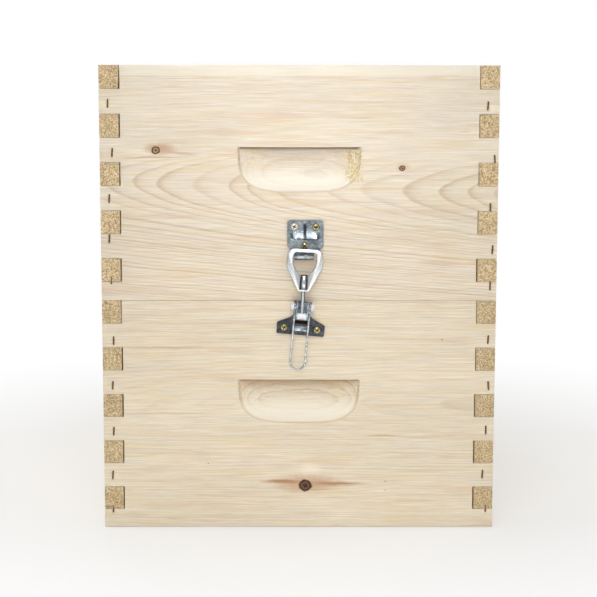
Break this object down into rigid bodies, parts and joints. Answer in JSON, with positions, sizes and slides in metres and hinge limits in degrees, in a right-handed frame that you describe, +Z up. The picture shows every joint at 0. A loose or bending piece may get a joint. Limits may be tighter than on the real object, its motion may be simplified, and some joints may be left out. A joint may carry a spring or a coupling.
{
  "type": "beehive",
  "caption": "Stacked wooden hive bodies with box-jointed corners, scooped hand holds, hanging comb frames and an adjustable toggle latch.",
  "frame": {"origin": "middle of the assembly's footprint, on the plane the lower hive body stands on", "axes": "+X to the right seen from the latch, +Y away from the latch along the long side, +Z up"},
  "size_m": [0.413, 0.5206, 0.4882],
  "materials": {
    "pine_board": "bare planed pine, satin, with end grain darker",
    "frame_wood": "bare planed softwood bars",
    "beeswax": "pressed wax sheet with hexagonal cells",
    "zinc_plate": "blue-grey zinc-plated sheet steel",
    "bright_zinc": "bright zinc-plated steel",
    "yellow_zinc": "yellow passivated screws"
  },
  "bodies": {
    "lower_box": {"lower_front_board": "pine_board", "lower_back_board": "pine_board", "lower_left_board": "pine_board", "lower_right_board": "pine_board", "base_plate": "zinc_plate", "base_screw_left": "yellow_zinc", "base_screw_right": "yellow_zinc", "pivot_rivet_left": "bright_zinc", "pivot_rivet_right": "bright_zinc"},
    "upper_box": {"upper_front_board": "pine_board", "upper_back_board": "pine_board", "upper_left_board": "pine_board", "upper_right_board": "pine_board", "catch_plate": "zinc_plate", "catch_screw_left": "yellow_zinc", "catch_screw_right": "yellow_zinc", "catch_screw_lower": "yellow_zinc"},
    "bail_lever": {"lever_bracket": "bright_zinc", "bail_handle": "bright_zinc"},
    "draw_bar": {"trunnion": "bright_zinc", "draw_rod": "bright_zinc"},
    "claw_nut": {"adjuster_sleeve": "zinc_plate", "claw": "bright_zinc"},
    "upper_frame_01": {"upper_frame_01_wood": "frame_wood", "upper_frame_01_foundation": "beeswax"},
    "upper_frame_02": {"upper_frame_02_wood": "frame_wood", "upper_frame_02_foundation": "beeswax"},
    "upper_frame_03": {"upper_frame_03_wood": "frame_wood", "upper_frame_03_foundation": "beeswax"},
    "upper_frame_04": {"upper_frame_04_wood": "frame_wood", "upper_frame_04_foundation": "beeswax"},
    "upper_frame_05": {"upper_frame_05_top_bar": "frame_wood", "upper_frame_05_front_end_bar": "frame_wood", "upper_frame_05_back_end_bar": "frame_wood", "upper_frame_05_bottom_bar": "frame_wood", "upper_frame_05_foundation": "beeswax"},
    "upper_frame_06": {"upper_frame_06_wood": "frame_wood", "upper_frame_06_foundation": "beeswax"},
    "upper_frame_07": {"upper_frame_07_wood": "frame_wood", "upper_frame_07_foundation": "beeswax"},
    "upper_frame_08": {"upper_frame_08_wood": "frame_wood", "upper_frame_08_foundation": "beeswax"},
    "upper_frame_09": {"upper_frame_09_wood": "frame_wood", "upper_frame_09_foundation": "beeswax"},
    "upper_frame_10": {"upper_frame_10_wood": "frame_wood", "upper_frame_10_foundation": "beeswax"},
    "lower_frame_01": {"lower_frame_01": "frame_wood"},
    "lower_frame_02": {"lower_frame_02": "frame_wood"},
    "lower_frame_03": {"lower_frame_03": "frame_wood"},
    "lower_frame_04": {"lower_frame_04": "frame_wood"},
    "lower_frame_05": {"lower_frame_05": "frame_wood"},
    "lower_frame_06": {"lower_frame_06": "frame_wood"},
    "lower_frame_07": {"lower_frame_07": "frame_wood"},
    "lower_frame_08": {"lower_frame_08": "frame_wood"},
    "lower_frame_09": {"lower_frame_09": "frame_wood"},
    "lower_frame_10": {"lower_frame_10": "frame_wood"}
  },
  "joints": [
    {"name": "bail_lever_swing", "type": "hinge", "parent": "lower_box", "child": "bail_lever", "pos_m": [0.0037, -0.25567, 0.239], "axis": [-0.9962, 0, 0.0872], "range_deg": [0, 125]},
    {"name": "box_lift", "type": "slide", "parent": "lower_box", "child": "upper_box", "axis": [0, 0, 1], "range_m": [0, 0.3]},
    {"name": "claw_adjust", "type": "slide", "parent": "draw_bar", "child": "claw_nut", "axis": [0.0558, 0.0471, 0.9973], "range_m": [-0.0025, 0.003]},
    {"name": "draw_bar_swing", "type": "hinge", "parent": "bail_lever", "child": "draw_bar", "pos_m": [0.00283, -0.25407, 0.22904], "axis": [-0.9962, 0, 0.0872], "range_deg": [-145, 0]},
    {"name": "frame_lift_01", "type": "slide", "parent": "upper_box", "child": "upper_frame_01", "axis": [0, 0, 1], "range_m": [0, 0.25]},
    {"name": "frame_lift_02", "type": "slide", "parent": "upper_box", "child": "upper_frame_02", "axis": [0, 0, 1], "range_m": [0, 0.25]},
    {"name": "frame_lift_03", "type": "slide", "parent": "upper_box", "child": "upper_frame_03", "axis": [0, 0, 1], "range_m": [0, 0.25]},
    {"name": "frame_lift_04", "type": "slide", "parent": "upper_box", "child": "upper_frame_04", "axis": [0, 0, 1], "range_m": [0, 0.25]},
    {"name": "frame_lift_05", "type": "slide", "parent": "upper_box", "child": "upper_frame_05", "axis": [0, 0, 1], "range_m": [0, 0.25]},
    {"name": "frame_lift_06", "type": "slide", "parent": "upper_box", "child": "upper_frame_06", "axis": [0, 0, 1], "range_m": [0, 0.25]},
    {"name": "frame_lift_07", "type": "slide", "parent": "upper_box", "child": "upper_frame_07", "axis": [0, 0, 1], "range_m": [0, 0.25]},
    {"name": "frame_lift_08", "type": "slide", "parent": "upper_box", "child": "upper_frame_08", "axis": [0, 0, 1], "range_m": [0, 0.25]},
    {"name": "frame_lift_09", "type": "slide", "parent": "upper_box", "child": "upper_frame_09", "axis": [0, 0, 1], "range_m": [0, 0.25]},
    {"name": "frame_lift_10", "type": "slide", "parent": "upper_box", "child": "upper_frame_10", "axis": [0, 0, 1], "range_m": [0, 0.25]},
    {"name": "lower_frame_lift_01", "type": "slide", "parent": "lower_box", "child": "lower_frame_01", "axis": [0, 0, 1], "range_m": [0, 0.009]},
    {"name": "lower_frame_lift_02", "type": "slide", "parent": "lower_box", "child": "lower_frame_02", "axis": [0, 0, 1], "range_m": [0, 0.009]},
    {"name": "lower_frame_lift_03", "type": "slide", "parent": "lower_box", "child": "lower_frame_03", "axis": [0, 0, 1], "range_m": [0, 0.009]},
    {"name": "lower_frame_lift_04", "type": "slide", "parent": "lower_box", "child": "lower_frame_04", "axis": [0, 0, 1], "range_m": [0, 0.009]},
    {"name": "lower_frame_lift_05", "type": "slide", "parent": "lower_box", "child": "lower_frame_05", "axis": [0, 0, 1], "range_m": [0, 0.009]},
    {"name": "lower_frame_lift_06", "type": "slide", "parent": "lower_box", "child": "lower_frame_06", "axis": [0, 0, 1], "range_m": [0, 0.009]},
    {"name": "lower_frame_lift_07", "type": "slide", "parent": "lower_box", "child": "lower_frame_07", "axis": [0, 0, 1], "range_m": [0, 0.009]},
    {"name": "lower_frame_lift_08", "type": "slide", "parent": "lower_box", "child": "lower_frame_08", "axis": [0, 0, 1], "range_m": [0, 0.009]},
    {"name": "lower_frame_lift_09", "type": "slide", "parent": "lower_box", "child": "lower_frame_09", "axis": [0, 0, 1], "range_m": [0, 0.009]},
    {"name": "lower_frame_lift_10", "type": "slide", "parent": "lower_box", "child": "lower_frame_10", "axis": [0, 0, 1], "range_m": [0, 0.009]}
  ],
  "couplings": [
    {"joint": "draw_bar_swing", "follows": "bail_lever_swing", "ratio": -1.15}
  ]
}
